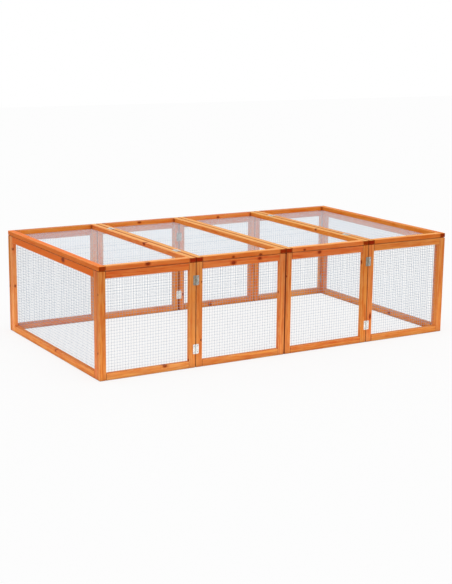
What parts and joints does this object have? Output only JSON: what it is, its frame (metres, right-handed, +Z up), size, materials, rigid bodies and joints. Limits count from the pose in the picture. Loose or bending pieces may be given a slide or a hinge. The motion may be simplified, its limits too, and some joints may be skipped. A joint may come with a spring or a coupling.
{
  "type": "outdoor rabbit run",
  "caption": "Folding rectangular outdoor run for rabbits: stained wooden frames with wire mesh walls and lids, joined by small butt hinges, open at the bottom.",
  "frame": {"origin": "on the ground, at the middle of the run's outline", "axes": "+X along the run's length, +Y from the front to the back, +Z up"},
  "size_m": [1.81, 1.01, 0.485],
  "materials": {
    "stained_wood": "orange-brown stained fir, satin",
    "zinc_wire": "galvanised welded wire",
    "zinc_hinge": "bright zinc-plated pressed steel"
  },
  "bodies": {
    "left_end": {"left_end_frame": "stained_wood", "left_end_mesh": "zinc_wire"},
    "right_end": {"right_end_frame": "stained_wood", "right_end_mesh": "zinc_wire"},
    "front_1": {"front_1_frame": "stained_wood", "front_1_mesh": "zinc_wire", "front_hinge_12_lower_plain_leaf": "zinc_hinge", "front_hinge_12_upper_plain_leaf": "zinc_hinge"},
    "front_2": {"front_2_frame": "stained_wood", "front_2_mesh": "zinc_wire", "front_hinge_12_lower_pin_leaf": "zinc_hinge", "front_hinge_12_upper_pin_leaf": "zinc_hinge", "front_hinge_23_lower_pin_leaf": "zinc_hinge", "front_hinge_23_upper_pin_leaf": "zinc_hinge"},
    "front_3": {"front_3_frame": "stained_wood", "front_3_mesh": "zinc_wire", "front_hinge_23_lower_plain_leaf": "zinc_hinge", "front_hinge_23_upper_plain_leaf": "zinc_hinge", "front_hinge_34_lower_plain_leaf": "zinc_hinge", "front_hinge_34_upper_plain_leaf": "zinc_hinge"},
    "front_4": {"front_4_frame": "stained_wood", "front_4_mesh": "zinc_wire", "front_hinge_34_lower_pin_leaf": "zinc_hinge", "front_hinge_34_upper_pin_leaf": "zinc_hinge"},
    "back_1": {"back_1_frame": "stained_wood", "back_1_mesh": "zinc_wire", "back_hinge_12_lower_pin_leaf": "zinc_hinge", "back_hinge_12_upper_pin_leaf": "zinc_hinge"},
    "back_2": {"back_2_frame": "stained_wood", "back_2_mesh": "zinc_wire", "back_hinge_12_lower_plain_leaf": "zinc_hinge", "back_hinge_12_upper_plain_leaf": "zinc_hinge", "back_hinge_23_lower_plain_leaf": "zinc_hinge", "back_hinge_23_upper_plain_leaf": "zinc_hinge"},
    "back_3": {"back_3_frame": "stained_wood", "back_3_mesh": "zinc_wire", "back_hinge_23_lower_pin_leaf": "zinc_hinge", "back_hinge_23_upper_pin_leaf": "zinc_hinge", "back_hinge_34_lower_pin_leaf": "zinc_hinge", "back_hinge_34_upper_pin_leaf": "zinc_hinge"},
    "back_4": {"back_4_frame": "stained_wood", "back_4_mesh": "zinc_wire", "back_hinge_34_lower_plain_leaf": "zinc_hinge", "back_hinge_34_upper_plain_leaf": "zinc_hinge"},
    "lid_1": {"lid_1_frame": "stained_wood", "lid_1_mesh": "zinc_wire", "lid_hinge_12_front_plain_leaf": "zinc_hinge", "lid_hinge_12_back_plain_leaf": "zinc_hinge"},
    "lid_2": {"lid_2_frame": "stained_wood", "lid_2_mesh": "zinc_wire", "lid_hinge_12_front_pin_leaf": "zinc_hinge", "lid_hinge_12_back_pin_leaf": "zinc_hinge"},
    "lid_3": {"lid_3_frame": "stained_wood", "lid_3_mesh": "zinc_wire", "lid_hinge_34_front_plain_leaf": "zinc_hinge", "lid_hinge_34_back_plain_leaf": "zinc_hinge"},
    "lid_4": {"lid_4_frame": "stained_wood", "lid_4_mesh": "zinc_wire", "lid_hinge_34_front_pin_leaf": "zinc_hinge", "lid_hinge_34_back_pin_leaf": "zinc_hinge"}
  },
  "joints": [
    {"name": "front_left_corner_fold", "type": "hinge", "parent": "left_end", "child": "front_1", "pos_m": [-0.882, -0.479, 0.22905], "axis": [0, 0, 1], "range_deg": [0, 90]},
    {"name": "front_fold_12", "type": "hinge", "parent": "front_1", "child": "front_2", "pos_m": [-0.45325, -0.5028, 0.22905], "axis": [0, 0, 1], "range_deg": [-180, 0]},
    {"name": "front_fold_23", "type": "hinge", "parent": "front_2", "child": "front_3", "pos_m": [0, -0.4772, 0.22905], "axis": [0, 0, 1], "range_deg": [0, 180]},
    {"name": "front_fold_34", "type": "hinge", "parent": "front_3", "child": "front_4", "pos_m": [0.45325, -0.5028, 0.22905], "axis": [0, 0, 1], "range_deg": [-180, 0]},
    {"name": "back_left_corner_fold", "type": "hinge", "parent": "left_end", "child": "back_1", "pos_m": [-0.882, 0.479, 0.22905], "axis": [0, 0, 1], "range_deg": [-90, 0]},
    {"name": "back_fold_12", "type": "hinge", "parent": "back_1", "child": "back_2", "pos_m": [-0.45325, 0.5028, 0.22905], "axis": [0, 0, 1], "range_deg": [0, 180]},
    {"name": "back_fold_23", "type": "hinge", "parent": "back_2", "child": "back_3", "pos_m": [0, 0.4772, 0.22905], "axis": [0, 0, 1], "range_deg": [-180, 0]},
    {"name": "back_fold_34", "type": "hinge", "parent": "back_3", "child": "back_4", "pos_m": [0.45325, 0.5028, 0.22905], "axis": [0, 0, 1], "range_deg": [0, 180]},
    {"name": "front_right_corner_fold", "type": "hinge", "parent": "front_4", "child": "right_end", "pos_m": [0.882, -0.479, 0.22905], "axis": [0, 0, 1], "range_deg": [0, 90]},
    {"name": "lid_2_lift", "type": "slide", "parent": "left_end", "child": "lid_2", "axis": [0, 0, 1], "range_m": [0, 0.15]},
    {"name": "lid_3_lift", "type": "slide", "parent": "left_end", "child": "lid_3", "axis": [0, 0, 1], "range_m": [0, 0.15]},
    {"name": "lid_1_flip", "type": "hinge", "parent": "lid_2", "child": "lid_1", "pos_m": [-0.45325, 0, 0.4828], "axis": [0, 1, 0], "range_deg": [0, 180]},
    {"name": "lid_4_flip", "type": "hinge", "parent": "lid_3", "child": "lid_4", "pos_m": [0.45325, 0, 0.4828], "axis": [0, -1, 0], "range_deg": [0, 180]}
  ],
  "couplings": [
    {"joint": "front_fold_12", "follows": "front_left_corner_fold", "ratio": -2},
    {"joint": "front_fold_23", "follows": "front_left_corner_fold", "ratio": 2},
    {"joint": "front_fold_34", "follows": "front_left_corner_fold", "ratio": -2},
    {"joint": "back_left_corner_fold", "follows": "front_left_corner_fold", "ratio": -1},
    {"joint": "back_fold_12", "follows": "front_left_corner_fold", "ratio": 2},
    {"joint": "back_fold_23", "follows": "front_left_corner_fold", "ratio": -2},
    {"joint": "back_fold_34", "follows": "front_left_corner_fold", "ratio": 2},
    {"joint": "front_right_corner_fold", "follows": "front_left_corner_fold", "ratio": 1}
  ]
}
